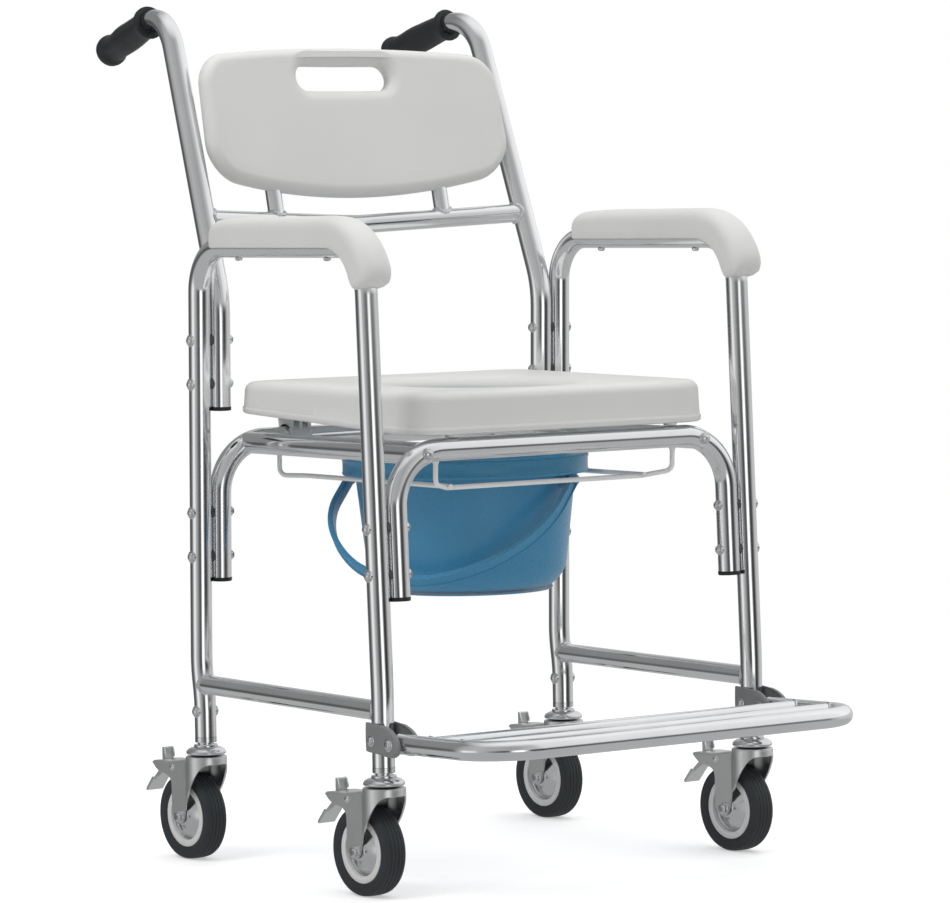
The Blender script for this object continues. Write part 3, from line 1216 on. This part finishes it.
for place_name in PLACES:
    x = LEG_X if place_name.endswith("right") else -LEG_X
    y = FRONT_Y if place_name.startswith("front") else REAR_Y
    place = turned(x, y, 0, [(CASTER_TURN, "Z")])
    fork_body, wheel_body = f"fork_body_{place_name}", f"wheel_body_{place_name}"
    for label, geo, material, slot, body, replaced, bevel in (
        ("stem_and_race", stem_geo(), BRIGHT, "caster_steel", "chair_frame", ["stem"], 0),
        ("swivel_cup", cup_geo(), ZINC, "caster_steel", fork_body, (), 0),
        ("fork_cheeks", fork_geo(), ZINC, "caster_steel", fork_body, ["fork"], 0),
        ("axle_bolt", axle_geo(), BRIGHT, "fastener", fork_body, ["axle"], 0),
        ("brake_pedal", brake_geo(), ZINC, "brake_steel", f"brake_body_{place_name}", ["brake"], 0.5),
        ("solid_tyre", on_axle(tyre_geo()), TYRE, "tyre_rubber", wheel_body, ["tyre"], 0),
        ("wheel_ring", on_axle(both_faces(RING_ROWS)), RING_GREY, "wheel_plastic", wheel_body, ["wheel"], 0),
        ("wheel_dish", on_axle(both_faces(DISH_ROWS)), BRIGHT, "wheel_plastic", wheel_body, (), 0),
    ):
        nodes = [f"{node}_{place_name}" for node in replaced]
        piece(f"{place_name}_{label}", geo, material, body, nodes, place, bevel=bevel)


def saddle_washer_geo(gap):
    """A small washer whose two faces are hollowed to sit against the two upright tubes."""
    geo = Geo()
    rows = [(1.2, 0), (6.2, 0), (6.8, 0.5), (6.8, 1), (6.2, 1), (1.2, 1)]
    for r, share in rows:
        for a, b in ring(r, 40):
            reach_in = TUBE_R - math.sqrt(TUBE_R**2 - a * a)
            inset = 0.35 if share in (0, 1) else 1.0
            low, high = -gap / 2 - reach_in + inset, gap / 2 + reach_in - inset
            across = low + (high - low) * (share if share in (0, 1) else 0.5)
            geo.verts.append(Vector((across, a, b)))
    grid_faces(geo, len(rows), 40, wrap_rows=True)
    return geo


spacer_geo = Geo()
for side in SIDES:
    for y, z in bolt_points:
        middle = side * (LEG_X + STUB_X) / 2
        spacer_geo.add(saddle_washer_geo(LEG_X - STUB_X - 2 * TUBE_R), turned(middle, y, z))
piece("saddle_washers", spacer_geo, SPACER_GREY, "chair_frame", ["saddle_spacers"])

# ---- Floor, light and camera ----


def make_floor():
    geo = Geo()
    for r in (0.01, 1000, 2000, 4000, 7000):
        geo.verts += [Vector((a, b, 0)) for a, b in ring(r, 96)]
    grid_faces(geo, 5, 96)
    mesh = bpy.data.meshes.new("floor")
    mesh.from_pydata([tuple(v * MM) for v in geo.verts], [], geo.faces)
    mesh.shade_smooth()
    material, tree, shader = new_material("pale_floor")
    centre = add_node(tree, "TexCoord", "Object")
    distance = add_node(tree, "VectorMath", "Value", {0: centre}, "LENGTH")
    rays = tree.nodes.new("ShaderNodeLightPath").outputs
    # The floor fades out with distance, and the chair doesn't mirror it
    far = spread(tree, distance, 0.0, 1.0, 0.9, 2.4)
    fade = math_node(tree, "MAXIMUM", far, rays["Is Glossy Ray"])
    # The camera sees the floor nearly white, with only soft shadows
    lift = math_node(tree, "MULTIPLY", rays["Is Camera Ray"], 0.42)
    feed(tree, shader.inputs["Base Color"], (0.8, 0.8, 0.8, 1))
    feed(tree, shader.inputs["Roughness"], 0.85)
    feed(tree, shader.inputs["Emission Color"], (1, 1, 1, 1))
    feed(tree, shader.inputs["Emission Strength"], lift)
    clear = add_node(tree, "BsdfTransparent", "BSDF")
    mix = add_node(tree, "MixShader", "Shader", {"Fac": fade, 1: shader.outputs["BSDF"], 2: clear})
    feed(tree, tree.nodes["Material Output"].inputs["Surface"], mix)
    mesh.materials.append(material)
    floor = bpy.data.objects.new("floor", mesh)
    bpy.context.scene.collection.objects.link(floor)


def grey_ramp(tree, turn, stops):
    """Grey levels by azimuth; each stop is degrees from +X towards +Y, and the brightness there."""
    return ramp(tree, turn, [((degrees + 180) / 360, (level,) * 3) for degrees, level in stops], "EASE")


def mixed(tree, share, first, second):
    """A colour that goes from the first to the second by a share."""
    return add_node(tree, "MixRGB", "Color", {"Fac": share, "Color1": first, "Color2": second})


def make_world():
    """A white studio: soft boxes and dark flags round the chair for the metal to reflect."""
    world = bpy.data.worlds.new("studio")
    bpy.context.scene.world = world
    world.use_nodes = True
    tree = world.node_tree
    way = add_node(tree, "TexCoord", "Generated")
    split = add_node(tree, "SeparateXYZ", "Z", {"Vector": way}).node.outputs
    angle = math_node(tree, "ARCTAN2", split["Y"], split["X"])
    turn = spread(tree, angle, 0.0, 1.0, -math.pi, math.pi)
    level = grey_ramp(tree, turn, [
        (-180, 0.85), (-172, 0.5), (-160, 0.42), (-150, 0.26), (-138, 0.12), (-128, 0.06), (-120, 0.12),
        (-113, 1.0), (-107, 1.5), (-96, 1.5), (-90, 0.7), (-80, 0.06), (-62, 0.04), (-50, 0.18), (-38, 0.45),
        (-20, 0.6), (30, 0.62), (60, 0.45), (85, 0.16), (115, 0.08), (134, 0.16), (148, 0.42), (160, 0.95),
        (175, 0.9), (180, 0.85),
    ])
    above = grey_ramp(tree, turn, [
        (-180, 0.5), (-150, 0.45), (-110, 0.4), (-75, 0.55), (-50, 0.85), (0, 1.0), (40, 0.9), (60, 0.5),
        (80, 0.27), (130, 0.25), (160, 0.45), (180, 0.5),
    ])
    below = grey_ramp(tree, turn, [(-180, 0.44), (0, 0.46), (180, 0.44)])
    lifted = mixed(tree, spread(tree, split["Z"], 0.0, 1.0, 0.03, 0.16), level, above)
    domed = mixed(tree, spread(tree, split["Z"], 0.0, 1.0, 0.75, 1.0), lifted, (0.95, 0.95, 0.95, 1))
    blend = mixed(tree, spread(tree, split["Z"], 1.0, 0.0, -0.24, -0.15), domed, below)
    # The camera itself sees plain white
    seen = mixed(tree, add_node(tree, "LightPath", "Is Camera Ray"), blend, (1, 1, 1, 1))
    feed(tree, tree.nodes["Background"].inputs["Color"], seen)


def area_light(name, where, aim, size, power):
    data = bpy.data.lights.new(name, "AREA")
    data.shape = "RECTANGLE"
    data.size, data.size_y = size
    data.energy = power
    light = bpy.data.objects.new(name, data)
    light.location = where
    light.visible_glossy = False
    light.rotation_euler = (Vector(aim) - Vector(where)).to_track_quat("-Z", "Y").to_euler()
    bpy.context.scene.collection.objects.link(light)


def make_camera():
    """The camera's place, its turn about Z, its tilt down and its roll."""
    yaw, tilt, roll = (math.radians(a) for a in (-34.69, 3.29, -1.03))
    back = Vector((math.sin(yaw) * math.cos(tilt), -math.cos(yaw) * math.cos(tilt), math.sin(tilt)))
    right = (-back).cross(Vector((0, 0, 1))).normalized()
    up = right.cross(-back)
    across = right * math.cos(roll) + up * math.sin(roll)
    above = up * math.cos(roll) - right * math.sin(roll)
    data = bpy.data.cameras.new("camera")
    data.lens = 170.17
    data.sensor_width = 36.0
    camera = bpy.data.objects.new("camera", data)
    rotation = Matrix((across, above, back)).transposed().to_4x4()
    camera.matrix_world = Matrix.Translation((-2.9270, -4.2657, 0.7638)) @ rotation
    bpy.context.scene.collection.objects.link(camera)
    bpy.context.scene.camera = camera


make_floor()
make_world()
area_light("key", (-2.7, -0.1, 3.1), (0, 0, 0.5), (1.6, 1.6), 46)
area_light("fill", (0.6, -3.6, 1.6), (0, 0, 0.5), (1.6, 1.8), 7)
area_light("top", (0.6, 0.0, 3.4), (0, 0, 0.4), (2.4, 2.4), 28)
make_camera()
bpy.context.scene.view_settings.view_transform = "Standard"
